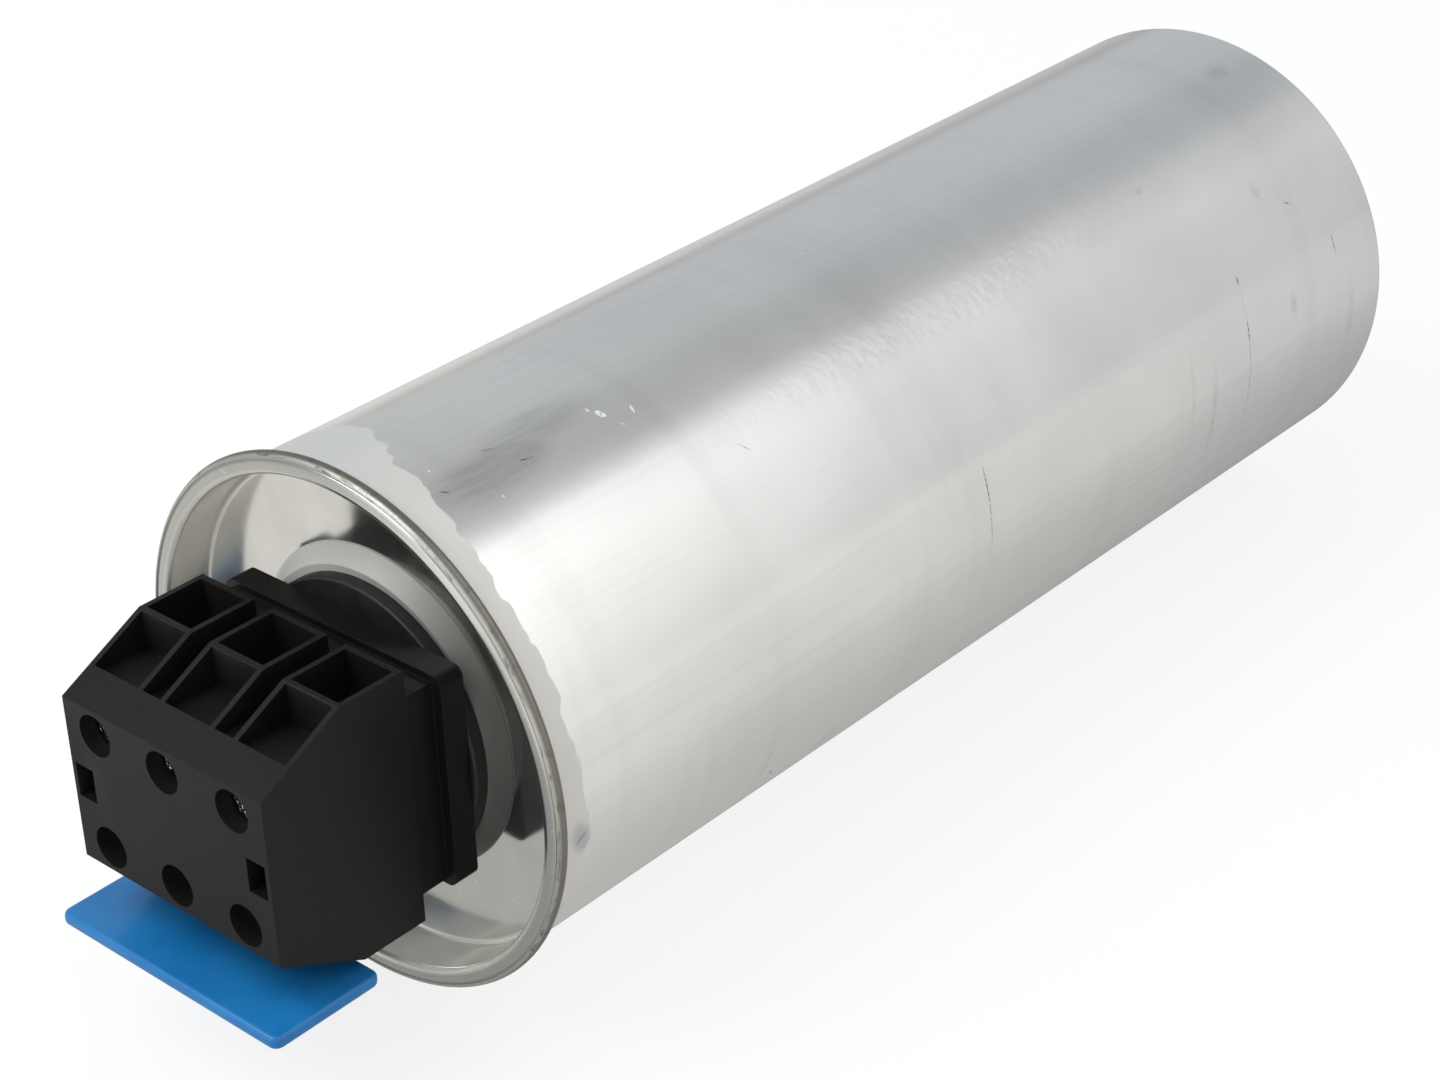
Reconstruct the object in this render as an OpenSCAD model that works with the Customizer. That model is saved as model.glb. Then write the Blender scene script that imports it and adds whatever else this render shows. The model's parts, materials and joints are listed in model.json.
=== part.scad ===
// Three-phase power factor correction capacitor: a drawn aluminium can with a threaded
// stud in its base, a lid rolled into the can's rim, and a terminal block on the lid.
// The pieces are modelled standing on the base (Z along the can, Y the height of the
// terminal block) and lay() puts the finished part on its side, with the block upright.

/* [Can] */
// Outer diameter of the can
can_d = 116; // [100:1:136]
// Wall thickness of the can
can_wall = 1; // [0.8:0.1:1.4]
// Length of the can, from the seat of the base to the crest of the rim
can_h = 313; // [280:1:380]
// Thickness of the base
base_t = 2.5; // [2:0.1:4]
// Outer radius of the edge between base and wall
base_edge_r = 1.8; // [1:0.1:2.4]

/* [Stud] */
// Diameter of the fixing stud over its thread
stud_d = 12; // [8:1:16]
// Length of the fixing stud
stud_l = 16; // [12:1:25]
// Chamfer at the tip of the stud
stud_tip = 1; // [0.5:0.1:2]

/* [Lid and seam] */
// Sheet thickness of the lid
lid_t = 0.9; // [0.7:0.1:1]
// Depth of the lid's floor below the crest of the rim
lid_depth = 11.8; // [10:0.1:14]
// How far the lid's raised middle stands out beyond the rubber seal on it
plateau_over = 0.5; // [0.5:0.5:6]
// Height of the raised middle above the lid's floor
plateau_h = 3.8; // [2.5:0.1:5]
// Slope of the step between floor and raised middle, in degrees
plateau_slope = 50; // [45:5:75]
// Radius of the bends of that step
plateau_bend = 1.2; // [1:0.1:2]
// Radius of the bend between the lid's floor and its upright wall
lid_bend = 1.3; // [1:0.1:2]
// How far the rim stands out beyond the can
rim_over = 3; // [2.8:0.1:4]
// Radius of the rim's inner edge
rim_inner_r = 1.6; // [1.2:0.1:2]
// Fall of the rim from its crest to its outer fold, in degrees
rim_fall = 8; // [4:1:15]
// Radius of the bend at the foot of the can's flange
flange_bend = 0.5; // [0.3:0.1:0.8]
// Play between the layers of the seam
seam_gap = 0.07; // [0.05:0.01:0.1]
// Thickness of the sealing compound in the seam
compound_t = 0.2; // [0.1:0.05:0.3]
// Gap between the lid's folded edge and the can's wall
fold_gap = 0.3; // [0.2:0.05:0.5]

/* [Seal under the terminals] */
// Radius of the round seal
seal_r = 33.5; // [31:0.5:35]
// Thickness of the round seal
seal_t = 3.2; // [2:0.1:5]
// Radius of the collars that line the holes of the lid
collar_r = 6.5; // [5.5:0.1:7.5]
// Length of the collars below the seal
collar_l = 5; // [4:0.5:7]

/* [Terminal base] */
// Width of the flange
flange_w = 63.8; // [62:0.2:68]
// Height of the flange
flange_h = 50.6; // [48.4:0.2:54]
// Thickness of the flange
flange_t = 6.2; // [4:0.2:8]
// Radius of the flange's corners
flange_r = 2.5; // [1:0.1:3]
// Height of the neck, across the block
neck_h = 47.4; // [44:0.2:48]
// Length of the neck, from the flange to the housing
neck_l = 7.3; // [5:0.1:10]
// How far the neck stands back from the housing's sides
neck_inset = 0.3; // [0:0.1:1]
// Radius of the bosses that carry the phase bars
boss_r = 5; // [4.5:0.1:5.4]

/* [Terminal housing] */
// Height of the housing at its flat sides
block_h = 60; // [58:0.5:64]
// Height of the housing's front face
face_h = 38.6; // [37:0.2:43]
// Length of the housing from the neck to the front face
block_d = 38; // [36:0.5:44]
// Length of the flat top, from the neck to where the slope starts
flat_d = 16.7; // [16.2:0.1:19]
// Width of each phase cell
cell_w = 16.2; // [15.8:0.1:17]
// Distance between the phase cells
cell_pitch = 21.6; // [21.2:0.1:23]
// Wall thickness of the cells
cell_wall = 1.35; // [1:0.05:1.6]
// Wall behind the wire entries
back_wall = 1.5; // [1:0.1:2]
// Wall between each wire entry and the pocket in front of it
bridge_wall = 1.5; // [1:0.1:2]
// Length of the closed lip along the slope, from the front face
lip_l = 8.75; // [6:0.25:11]
// Height of the pocket floors above the middle of the block
floor_v = 21; // [20.2:0.1:21.5]
// Diameter of the screwdriver holes
hole_d = 9.4; // [8.8:0.1:9.6]
// Width of the latch windows
window_w = 5.4; // [5:0.1:6]
// Height of the latch windows
window_h = 8; // [6:0.5:10]
// Wall outside the latch windows
window_wall = 1.2; // [1:0.1:1.6]
// Depth of the latch windows
window_d = 7.5; // [6:0.5:9]
// Thickness of the latch arms
latch_t = 1.8; // [1.2:0.1:2]
// Reach of the latch hooks
latch_hook = 1.8; // [1:0.1:2.4]
// Height of the latch hooks
latch_tip = 2.4; // [1.5:0.1:4]
// Thickness of the latch hooks at their edge
latch_lip = 0.4; // [0.3:0.1:1]
// Width of the hollow cores between the phase chambers
core_w = 4; // [2:0.5:4.5]
// Depth left in front of the cores
core_front = 4; // [3:0.5:6]

/* [Terminals] */
// Distance between the phases' screws
screw_pitch = 20.5; // [20.2:0.1:21]
// Distance of each row of screws from the middle of the block
screw_row = 13.5; // [13:0.1:14]
// Width of a clamp cage
cage_w = 10.8; // [10:0.1:11]
// Height of a clamp cage, across the block
cage_h = 9.6; // [8:0.1:10]
// Length of a clamp cage
cage_l = 15.4; // [14:0.1:16]
// Wall thickness of a clamp cage
cage_t = 1.5; // [1.2:0.1:1.7]
// Width of a phase bar
bar_w = 7.2; // [6.6:0.1:7.4]
// Thickness of a phase bar
bar_t = 2; // [1.5:0.1:3]
// Length of a phase bar
bar_l = 38; // [37:0.2:38.6]
// Thread diameter of a terminal screw
screw_d = 5; // [4:0.5:5]
// Head diameter of a terminal screw
head_d = 8.5; // [7:0.1:8.6]
// Head height of a terminal screw
head_h = 3.3; // [2.5:0.1:4]
// Length of a terminal screw below its head
screw_l = 24; // [22:0.5:26]
// Width of the slot in a screw head
slot_w = 1.2; // [0.8:0.1:1.6]
// Depth of the slot in a screw head
slot_d = 1.6; // [1:0.1:2]
// Length of the cross recess in a screw head
cross_l = 4.6; // [3:0.1:5]
// How far the free screws are backed out
back_off = 2; // [0.5:0.1:3]
// Diameter of a feedthrough pin
pin_d = 6; // [5:0.5:6.5]
// Length of a feedthrough pin below its collar
tail_l = 17.8; // [16:0.1:20]
// Radius of the collar on a feedthrough pin
pin_collar_r = 6.4; // [5:0.1:6.5]
// Thickness of the collar on a feedthrough pin
pin_collar_t = 2; // [1.5:0.1:3]
// Width of a pin nut across its flats
nut_af = 10; // [9:0.5:10]
// Height of a pin nut
nut_h = 5; // [4:0.5:6]
// Length of pin that stands out of its nut
nut_over = 2; // [1:0.5:4]

/* [Discharge board] */
// Width of the coated resistor board
board_w = 66.6; // [60:0.2:72]
// Depth of the board
board_l = 28.2; // [26:0.2:32]
// Thickness of the board over its coating
board_t = 3; // [1.8:0.1:3.4]
// Radius of the board's corners
board_r = 2.2; // [1:0.1:4]
// Radius of the board's coated edges
board_edge_r = 0.8; // [0.4:0.1:0.8]
// How far the board stands out in front of the housing
board_over = 6.2; // [2:0.1:7]
// Gap between the housing and the board
board_gap = 1.8; // [1.4:0.1:4]
// Width of a contact strip of the board
strip_w = 3; // [2:0.1:4]
// Thickness of a contact strip of the board
strip_t = 1; // [0.6:0.1:1.2]
// Length of a contact strip that is soldered to the board
solder_l = 4.5; // [2:0.5:6]

/* [Windings] */
// Gap between the insulating sleeve and the can
sleeve_gap = 1.7; // [1:0.1:3]
// Outer radius of a core tube
core_r = 10; // [8:0.5:14]
// Wall thickness of a core tube
core_t = 2; // [1:0.1:3]
// Thickness of a sprayed end
spray_t = 0.6; // [0.4:0.1:1.2]
// How far a sprayed end stays back from the winding's edges
spray_inset = 0.3; // [0.1:0.1:1]
// Thickness of the separators between the windings
separator_t = 2; // [1.5:0.1:3]
// Thickness of the insulating base tray
tray_t = 3; // [2.5:0.1:4]
// Length of the peg that centres the lowest winding
peg_l = 10; // [6:0.5:15]
// Thickness of the insulating disc on top of the windings
top_disc_t = 2.5; // [2:0.1:4]
// Wall thickness of the insulating sleeve
sleeve_t = 0.8; // [0.4:0.1:1]
// How far the insulating sleeve stands above the top disc
sleeve_over = 9; // [4:0.5:12]
// Length of the spacer that holds the windings down
spacer_l = 25.5; // [22:0.5:32]
// How far the spacer stands back from the windings' edge
spacer_inset = 5; // [3:0.5:8]
// Wall thickness of that spacer
spacer_t = 4; // [3:0.5:5]
// Width of a phase lead
lead_w = 6; // [4:0.5:8]
// Thickness of a phase lead
lead_t = 1; // [0.6:0.1:1]
// Radius at which the feet of the leads end between the windings
foot_r = 34; // [28:1:40]
// Outer radius of the eye of a phase lead
eye_r = 5.5; // [5:0.1:7]
// Length of pin that stands out below the eye
eye_over = 1; // [0.5:0.5:3]
// Room around a phase lead in the spacer's windows
lead_room = 2.5; // [1:0.5:4]

/* [Fits] */
// Play of a round piece in its hole
play = 0.2; // [0.1:0.05:0.3]
// Slip between flat pieces that slide together
slip = 0.15; // [0.1:0.05:0.3]

/* [Hidden] */
$fn = 96;
eps = 0.01;
cut = 1;
can_r = can_d / 2;
can_in = can_r - can_wall;

// seam: the lid's edge lies on the can's flange and is folded back under it
seam_r = can_r + rim_over;
chuck_r = can_in - seam_gap - lid_t;
crest_r = chuck_r + rim_inner_r;
fold_r = (2 * lid_t + can_wall + compound_t + 2 * seam_gap) / 2;
fold_x = seam_r - fold_r;
fold_z = can_h - rim_inner_r
    + (rim_inner_r - fold_r - (fold_x - crest_r) * sin(rim_fall)) / cos(rim_fall);
fold_end = can_r + fold_gap;
can_top = fold_z - fold_r + lid_t + seam_gap + can_wall;

// levels of the lid and of what stands on it
floor_z = can_h - lid_depth;
plateau_z = floor_z + plateau_h;
plateau_r = seal_r + plateau_over;
flange_z = plateau_z + seal_t;
neck_z = flange_z + flange_t;
house_z = neck_z + neck_l;
flat_z = house_z + flat_d;
face_z = house_z + block_d;

// terminal housing
block_w = 2 * cell_pitch + cell_w;
pocket_w = cell_w - 2 * cell_wall;
slope_l = norm([face_z - flat_z, (block_h - face_h) / 2]);
lip_z = face_z - lip_l * (face_z - flat_z) / slope_l;
entry_z = house_z + back_wall;
roof_z = house_z + cage_l + 2 * slip;
chamber_h = 2 * screw_row + cage_h + 2 * slip;
bridge_z = roof_z + bridge_wall;
window_x = block_w / 2 - window_wall - window_w / 2;

// terminals
phases = [-1, 0, 1];
rows = [-1, 1];
bar_z = house_z + slip + cage_t;
strip_z = bar_z + bar_t;
tip_z = strip_z + strip_t;
screw_r = screw_d / 2;
pin_r = pin_d / 2;
latch_x = block_w / 2 - window_wall - slip - latch_t;
latch_step = face_z - window_d;
latch_h = window_h - 2 * slip;
slot_turns = [[-35, 15, 65], [5, 55, 105]];

// discharge board
board_v = block_h / 2 + board_gap;
board_z = face_z + board_over - board_l;

// stack of windings: it fills the can from the base tray to the spacer under the lid,
// and from the core tubes out to the leads that run inside the sleeve
tray_z = base_t + tray_t;
disc_z = floor_z - lid_t - spacer_l;
stack_z = disc_z - top_disc_t;
unit_l = (stack_z - tray_z - 2 * separator_t) / 3;
roll_l = unit_l - 2 * spray_t;
function unit_z(i) = tray_z + i * (unit_l + separator_t);
core_in = core_r - core_t;
sleeve_in = can_in - sleeve_gap - sleeve_t;
lead_out = sqrt(pow(sleeve_in - play, 2) - pow(lead_w / 2, 2));
lead_in = lead_out - lead_t;
roll_r = lead_in - play;
spacer_r = roll_r - spacer_inset;
sleeve_top = disc_z + sleeve_over;
collar_z = plateau_z - collar_l;
pin_z = collar_z - pin_collar_t;
tail_z = pin_z - tail_l;
eye_z = tail_z + eye_over;
lead_angles = [180, 90, 0];
spacer_window = lead_w / 2 + lead_room;

// ---- shapes that several pieces share ----

// points along an arc about c, from angle a to angle b
function arc(c, r, a, b, n = 8) =
    [for (i = [0:n]) let (t = a + (b - a) * i / n) c + r * [cos(t), sin(t)]];

function reversed(p) = [for (i = [len(p) - 1:-1:0]) p[i]];

// turns the standing part on its side: the can's axis to -Y, the block's height to +Z
module lay() rotate([90, 0, 0]) children();

// a box given by its low corner and its high corner
module block(a, b) translate(a) cube(b - a);

// a straight tube from z = a to z = b
module tube(r_out, r_in, a, b)
    difference() {
        translate([0, 0, a]) cylinder(r = r_out, h = b - a);
        translate([0, 0, a - cut]) cylinder(r = r_in, h = b - a + 2 * cut);
    }

// a rectangle with round corners
module round_rect(w, h, r) {
    square([w - 2 * r, h], center = true);
    square([w, h - 2 * r], center = true);
    for (x = [-1, 1], y = [-1, 1])
        translate([x * (w / 2 - r), y * (h / 2 - r)]) circle(r, $fn = 48);
}

module at_pins() for (i = phases) translate([i * screw_pitch, 0, 0]) children();

module at_screws() for (i = phases, j = rows)
    translate([i * screw_pitch, j * screw_row, 0]) children();

// extrudes an outline of (z, y) points across the width w, centred on x = 0
module across(w, points)
    translate([-w / 2, 0, 0]) rotate([90, 0, 90]) linear_extrude(w)
        polygon([for (p = points) [p[1], p[0]]]);

// ---- can and lid ----

module can() color("#c9cbcc") lay() rotate_extrude($fn = 180) polygon(concat(
    [[0, -stud_l], [stud_d / 2 - stud_tip, -stud_l], [stud_d / 2, -stud_l + stud_tip]],
    [[stud_d / 2, 0]],
    arc([can_r - base_edge_r, base_edge_r], base_edge_r, -90, 0),
    arc([can_r + flange_bend, can_top - can_wall - flange_bend], flange_bend, 180, 90),
    [[fold_x, can_top - can_wall], [fold_x, can_top]],
    arc([can_r + flange_bend, can_top - can_wall - flange_bend], flange_bend + can_wall, 90, 180),
    arc([can_in - base_edge_r, base_t + base_edge_r], base_edge_r, 0, -90),
    [[0, base_t]]
));

// the lid's sheet, as the line d below its upper skin (d = 0 is the skin itself)
function lid_line(d) =
    let (s = plateau_slope, b = plateau_bend, k = rim_fall,
         top = plateau_z - b, foot = floor_z + b,
         run = (top + b * cos(s) - foot + b * cos(s)) / sin(s),
         foot_r = plateau_r - b + 2 * b * sin(s) + run * cos(s))
    concat(
        arc([plateau_r - b, top], b - d, 90, 90 - s),
        arc([foot_r, foot], b + d, 270 - s, 270),
        arc([chuck_r - lid_bend, floor_z + lid_bend], lid_bend + d, 270, 360),
        arc([crest_r, can_h - rim_inner_r], rim_inner_r - d, 180, 90 - k),
        arc([fold_x, fold_z], fold_r - d, 90 - k, -90, 12),
        [[fold_end, fold_z - fold_r + d]]
    );

module lid() color("#bdbdb6") lay() difference() {
    rotate_extrude($fn = 180) polygon(concat(
        [[0, plateau_z]], lid_line(0), reversed(lid_line(lid_t)), [[0, plateau_z - lid_t]]
    ));
    at_pins() translate([0, 0, plateau_z - lid_t - cut])
        cylinder(r = collar_r + play, h = lid_t + 2 * cut);
}

module seam_compound() color("#8d8a80") lay()
    tube(fold_x, can_r + flange_bend, can_top, can_top + compound_t);

// ---- terminal seal, base and housing ----

module terminal_seal() color("#262625") lay() difference() {
    union() {
        translate([0, 0, plateau_z]) cylinder(r = seal_r, h = seal_t);
        at_pins() translate([0, 0, collar_z]) cylinder(r = collar_r, h = collar_l + eps);
    }
    at_pins() translate([0, 0, collar_z - cut])
        cylinder(r = pin_r + play, h = collar_l + seal_t + 2 * cut);
}

// a snap arm, standing on the neck, with its hook turned inwards
module latch() translate([0, latch_h / 2, 0]) rotate([90, 0, 0])
    linear_extrude(latch_h) polygon([
        [latch_x, house_z - eps],
        [latch_x + latch_t, house_z - eps],
        [latch_x + latch_t, latch_step + latch_tip],
        [latch_x, latch_step + latch_tip],
        [latch_x - latch_hook, latch_step + slip + latch_lip],
        [latch_x - latch_hook, latch_step + slip],
        [latch_x, latch_step + slip]
    ]);

module terminal_base() color("#242423") lay() difference() {
    union() {
        translate([0, 0, flange_z]) linear_extrude(flange_t)
            round_rect(flange_w, flange_h, flange_r);
        block([neck_inset - block_w / 2, -neck_h / 2, neck_z - eps],
              [block_w / 2 - neck_inset, neck_h / 2, house_z]);
        at_pins() translate([0, 0, house_z - eps]) cylinder(r = boss_r, h = bar_z - house_z + eps);
        latch();
        mirror([1, 0, 0]) latch();
    }
    at_pins() translate([0, 0, flange_z - cut])
        cylinder(r = pin_r + play, h = bar_z - flange_z + 2 * cut);
}

// outline of the housing seen from its side, as (z, y) points
function housing_side() = [
    [house_z, -block_h / 2], [flat_z, -block_h / 2], [face_z, -face_h / 2],
    [face_z, face_h / 2], [flat_z, block_h / 2], [house_z, block_h / 2]
];

// hollows of one cell: phase chamber, wire entries and front pockets
module cell_hollows(x) {
    w = pocket_w / 2;
    block([x - w, -chamber_h / 2, house_z - cut], [x + w, chamber_h / 2, roof_z]);
    block([x - w, -block_h, entry_z], [x + w, block_h, roof_z]);
    for (side = rows) mirror([0, side < 0 ? 1 : 0, 0])
        block([x - w, floor_v, bridge_z], [x + w, block_h, lip_z]);
}

module terminal_housing() color("#2b2a28") lay() difference() {
    across(block_w, housing_side());
    for (i = phases) cell_hollows(i * cell_pitch);
    // channels between the cells, open to the back
    for (x = [-1, 1] * cell_pitch / 2, side = rows) mirror([0, side < 0 ? 1 : 0, 0])
        block([x - (cell_pitch - cell_w) / 2, floor_v, house_z - cut],
              [x + (cell_pitch - cell_w) / 2, block_h, lip_z]);
    // hollow cores between the phase chambers
    for (x = [-1, 1] * cell_pitch / 2)
        block([x - core_w / 2, -screw_row - cage_h / 2, house_z - cut],
              [x + core_w / 2, screw_row + cage_h / 2, face_z - core_front]);
    at_screws() translate([0, 0, roof_z - cut])
        cylinder(d = hole_d, h = face_z - roof_z + 2 * cut);
    // latch windows and the narrower slots behind them
    for (side = [-1, 1]) {
        mirror([side < 0 ? 1 : 0, 0, 0]) {
            block([window_x - window_w / 2, -window_h / 2, latch_step],
                  [window_x + window_w / 2, window_h / 2, face_z + cut]);
            block([latch_x - slip, -window_h / 2, roof_z - cut],
                  [window_x + window_w / 2, window_h / 2, face_z]);
        }
    }
}

// ---- terminals ----

module phase_bar(i) color("#c8a552") lay() translate([phases[i] * screw_pitch, 0, 0])
    difference() {
        block([-bar_w / 2, -bar_l / 2, bar_z], [bar_w / 2, bar_l / 2, bar_z + bar_t]);
        translate([0, 0, bar_z - cut]) cylinder(r = pin_r + play / 2, h = bar_t + 2 * cut);
    }

// cages 1 to 3 are in the upper row, 4 to 6 in the lower row
module clamp_cage(i) color("#b4b7b9") lay()
    translate([phases[i % 3] * screw_pitch, (i < 3 ? 1 : -1) * screw_row, house_z + slip])
        difference() {
            block([-cage_w / 2, -cage_h / 2, 0], [cage_w / 2, cage_h / 2, cage_l]);
            block([cage_t - cage_w / 2, -cage_h, cage_t],
                  [cage_w / 2 - cage_t, cage_h, cage_l - cage_t]);
            translate([0, 0, cage_l - cage_t - cut])
                cylinder(r = screw_r + play / 2, h = cage_t + 2 * cut);
        }

// a cheese-head screw with its tip at z = 0
module terminal_screw() difference() {
    union() {
        cylinder(r = screw_r, h = screw_l + eps);
        translate([0, 0, screw_l]) cylinder(d = head_d, h = head_h);
    }
    top = screw_l + head_h;
    block([-head_d, -slot_w / 2, top - slot_d], [head_d, slot_w / 2, top + cut]);
    block([-slot_w / 2, -cross_l / 2, top - slot_d], [slot_w / 2, cross_l / 2, top + cut]);
}

// the lower screws clamp the contact strips; the upper ones are backed out
module terminal_screws() color("#c4c6c7") lay() for (i = [0:2], j = [0:1])
    translate([phases[i] * screw_pitch, rows[j] * screw_row, tip_z + j * back_off])
        rotate([0, 0, slot_turns[j][i]]) terminal_screw();

module feedthrough_pin(i) color("#caa956") lay() translate([phases[i] * screw_pitch, 0, 0]) {
    translate([0, 0, tail_z]) cylinder(r = pin_r, h = strip_z + nut_h + nut_over - tail_z);
    translate([0, 0, pin_z]) cylinder(r = pin_collar_r, h = pin_collar_t);
}

module pin_nuts() color("#b9bbbd") lay() at_pins() difference() {
    translate([0, 0, strip_z]) rotate([0, 0, 30])
        cylinder(r = nut_af / sqrt(3), h = nut_h, $fn = 6);
    translate([0, 0, strip_z - cut]) cylinder(r = pin_r + play / 2, h = nut_h + 2 * cut);
}

// ---- discharge board ----

module discharge_board() color("#1c73be") lay()
    translate([0, -board_v - board_t / 2, board_z + board_l / 2]) intersection() {
        rotate([90, 0, 0]) linear_extrude(board_t, center = true)
            round_rect(board_w, board_l, board_r);
        linear_extrude(board_l, center = true) round_rect(board_w, board_t, board_edge_r);
        rotate([0, 90, 0]) linear_extrude(board_w, center = true)
            round_rect(board_l, board_t, board_edge_r);
    }

// a flat strip: soldered to the board, then up through the wire entry onto the phase bar
module discharge_contact(i) color("#c9ccce") lay()
    translate([phases[i] * screw_pitch, 0, 0]) {
        block([-strip_w / 2, -board_v, strip_z],
              [strip_w / 2, strip_t - board_v, board_z + solder_l]);
        block([-strip_w / 2, -board_v, strip_z],
              [strip_w / 2, cage_h / 2 - screw_row, strip_z + strip_t]);
    }

// ---- windings and what holds them ----

module winding(i) color("#d9d4c4") lay()
    tube(roll_r, core_r + play / 2, unit_z(i) + spray_t, unit_z(i) + spray_t + roll_l);

module core_tube(i) color("#3b6a9c") lay() tube(core_r, core_in, unit_z(i), unit_z(i) + unit_l);

module sprayed_end(i) color("#8f9294") lay()
    tube(roll_r - spray_inset, core_r + spray_inset,
         unit_z(floor(i / 2)) + (i % 2) * (spray_t + roll_l),
         unit_z(floor(i / 2)) + (i % 2) * (spray_t + roll_l) + spray_t);

// radial slot for a lead's foot, at a lead's angle
module foot_slot(k, a, b) rotate([0, 0, lead_angles[k]])
    block([foot_r - slip, -lead_w / 2 - slip, a], [can_r, lead_w / 2 + slip, b]);

module winding_separator(i) color("#e6e0cc") lay() difference() {
    tube(roll_r, core_in, unit_z(i) + unit_l, unit_z(i + 1));
    foot_slot(i + 1, unit_z(i), unit_z(i + 1) + cut);
}

module base_tray() color("#e6e0cc") lay() difference() {
    union() {
        translate([0, 0, base_t]) cylinder(r = can_in - base_edge_r, h = tray_t);
        translate([0, 0, tray_z - eps]) cylinder(r = core_in - play, h = peg_l);
    }
    foot_slot(0, tray_z - separator_t, tray_z + cut);
}

module top_disc() color("#e6e0cc") lay() difference() {
    tube(roll_r, core_in, stack_z, disc_z);
    foot_slot(0, stack_z - cut, stack_z + separator_t);
}

module winding_spacer() color("#efe9d8") lay() difference() {
    tube(spacer_r, spacer_r - spacer_t, disc_z, floor_z - lid_t);
    for (a = lead_angles) rotate([0, 0, a])
        block([0, -spacer_window, eye_z - lead_room],
              [can_r, spacer_window, eye_z + lead_t + lead_room]);
}

module insulating_sleeve() color("#f0ead6") lay()
    tube(sleeve_in + sleeve_t, sleeve_in, tray_z, sleeve_top);

// feet of each phase: the windings are joined in a ring, so each phase has two coil ends
function feet(k) = k == 0 ? [tray_z - separator_t, stack_z] : [unit_z(k) - separator_t];

module phase_lead(k) color("#c98b5a") lay() {
    reach = abs(phases[k]) * screw_pitch;
    rotate([0, 0, lead_angles[k]]) {
        for (z = feet(k)) block([foot_r, -lead_w / 2, z], [lead_out, lead_w / 2, z + separator_t]);
        block([lead_in, -lead_w / 2, min(feet(k))], [lead_out, lead_w / 2, eye_z + lead_t]);
        difference() {
            union() {
                block([reach, -lead_w / 2, eye_z], [lead_out, lead_w / 2, eye_z + lead_t]);
                translate([reach, 0, eye_z]) cylinder(r = eye_r, h = lead_t);
            }
            translate([reach, 0, eye_z - cut]) cylinder(r = pin_r + play / 2, h = lead_t + 2 * cut);
        }
    }
}

// ---- the pieces, one node each ----

can();
lid();
seam_compound();
terminal_seal();
terminal_base();
terminal_housing();
terminal_screws();
pin_nuts();
discharge_board();
base_tray();
top_disc();
winding_spacer();
insulating_sleeve();
for (i = [0:2]) {
    phase_bar(i);
    feedthrough_pin(i);
    discharge_contact(i);
    winding(i);
    core_tube(i);
    phase_lead(i);
}
for (i = [0:5]) {
    clamp_cage(i);
    sprayed_end(i);
}
for (i = [0:1])
    winding_separator(i);
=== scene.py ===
# %% [markdown]
# # A power factor correction capacitor
#
# Factories that run many motors hang capacitors like this one beside them, so that the
# mains doesn't have to carry the current that only swings to and fro. It is a plain tin:
# a can of drawn aluminium, a pressed lid folded into its rim, and a black terminal block
# with a small blue board that drains the charge. Three finishes carry the picture, which
# are bare metal, black plastic and blue epoxy, so most of this lesson is about metal.
#
# The construction comes packed from the CAD model, as a frame that stays where it is.
# Each step here dresses a part of it. Lengths are in metres, the can lies along Y with
# its terminals towards -Y, and Z is up.

# %% Load the frame
import json
import math
import bmesh
import bpy
from mathutils import Matrix, Vector


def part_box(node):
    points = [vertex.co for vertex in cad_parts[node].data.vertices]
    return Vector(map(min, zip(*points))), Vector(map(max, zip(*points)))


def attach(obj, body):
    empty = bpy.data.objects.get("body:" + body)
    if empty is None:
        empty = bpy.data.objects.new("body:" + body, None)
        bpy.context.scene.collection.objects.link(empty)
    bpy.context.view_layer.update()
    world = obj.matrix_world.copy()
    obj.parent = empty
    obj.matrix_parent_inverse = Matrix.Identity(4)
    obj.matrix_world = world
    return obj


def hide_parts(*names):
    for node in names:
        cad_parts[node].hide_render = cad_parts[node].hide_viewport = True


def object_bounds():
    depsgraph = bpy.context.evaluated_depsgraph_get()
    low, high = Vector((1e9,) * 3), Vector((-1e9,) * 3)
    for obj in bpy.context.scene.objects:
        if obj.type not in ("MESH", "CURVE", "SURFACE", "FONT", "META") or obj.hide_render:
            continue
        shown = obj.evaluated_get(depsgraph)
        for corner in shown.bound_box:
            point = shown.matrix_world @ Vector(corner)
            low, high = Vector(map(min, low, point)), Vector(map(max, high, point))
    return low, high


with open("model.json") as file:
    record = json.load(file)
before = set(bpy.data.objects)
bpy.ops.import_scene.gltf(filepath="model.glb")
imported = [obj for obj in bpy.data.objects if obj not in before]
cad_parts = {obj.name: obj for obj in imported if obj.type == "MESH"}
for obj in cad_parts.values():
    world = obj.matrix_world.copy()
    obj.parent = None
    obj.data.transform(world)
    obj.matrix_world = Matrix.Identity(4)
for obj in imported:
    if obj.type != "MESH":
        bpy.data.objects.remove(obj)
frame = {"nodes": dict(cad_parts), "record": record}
cad_low, cad_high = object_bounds()
mm = 0.001
print("frame:", len(frame["nodes"]), "nodes,", (cad_high - cad_low) / mm, "mm")

# %% [markdown]
# ## Camera
#
# The camera comes first, because everything after it is judged through it. It stands in
# front of the terminals, to their right and above them, and aims at a point near the
# middle of the can. A long lens keeps the far end of the can from shrinking too much.
# Bearing, height and tilt are angles, so that the view can be changed by a hand's turn.

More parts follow.
